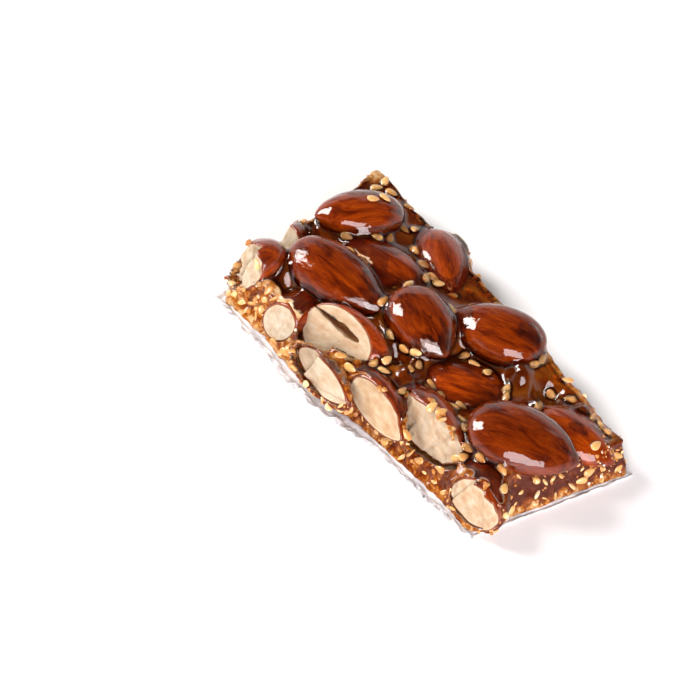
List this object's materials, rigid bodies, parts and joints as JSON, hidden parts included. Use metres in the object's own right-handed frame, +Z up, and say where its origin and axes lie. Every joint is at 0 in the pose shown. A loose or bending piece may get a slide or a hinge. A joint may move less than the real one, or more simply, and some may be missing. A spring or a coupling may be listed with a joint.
{
  "type": "turron",
  "caption": "Slab of almond turron: whole and knife-cut almonds set in glossy amber caramel with sesame seeds, lying flat on a thin crinkled wafer sheet.",
  "frame": {"origin": "on the wafer's flat underside, at the middle of the slab", "axes": "+X along the slab, +Y from the front cut to the back, +Z up through the almonds"},
  "size_m": [0.0998, 0.0556, 0.0169],
  "materials": {
    "caramel": "glossy clear amber caramel",
    "almond_skin": "glazed red-brown almond skin",
    "almond_kernel": "cream kernel and pale sesame, cut dry",
    "wafer": "dry white wafer"
  },
  "bodies": {
    "root": {"caramel_slab": "caramel", "almond_back_left": "almond_skin", "almond_behind_big": "almond_skin", "almond_big_left": "almond_skin", "almond_back_edge": "almond_skin", "almond_middle": "almond_skin", "almond_big_back": "almond_skin", "almond_sunken": "almond_skin", "almond_big_right": "almond_skin", "almond_veiled": "almond_skin", "almond_cut_hollow": "almond_kernel", "almond_cut_upper": "almond_kernel", "almond_cut_middle": "almond_kernel", "almond_cut_lower": "almond_kernel", "almond_cut_round": "almond_kernel", "almond_broken_left": "almond_kernel", "almond_broken_corner": "almond_kernel", "almond_chip_left": "almond_kernel", "almond_cut_end": "almond_kernel", "almond_cut_back": "almond_kernel", "almond_cut_back_right": "almond_kernel", "wafer_sheet": "wafer"}
  },
  "joints": []
}
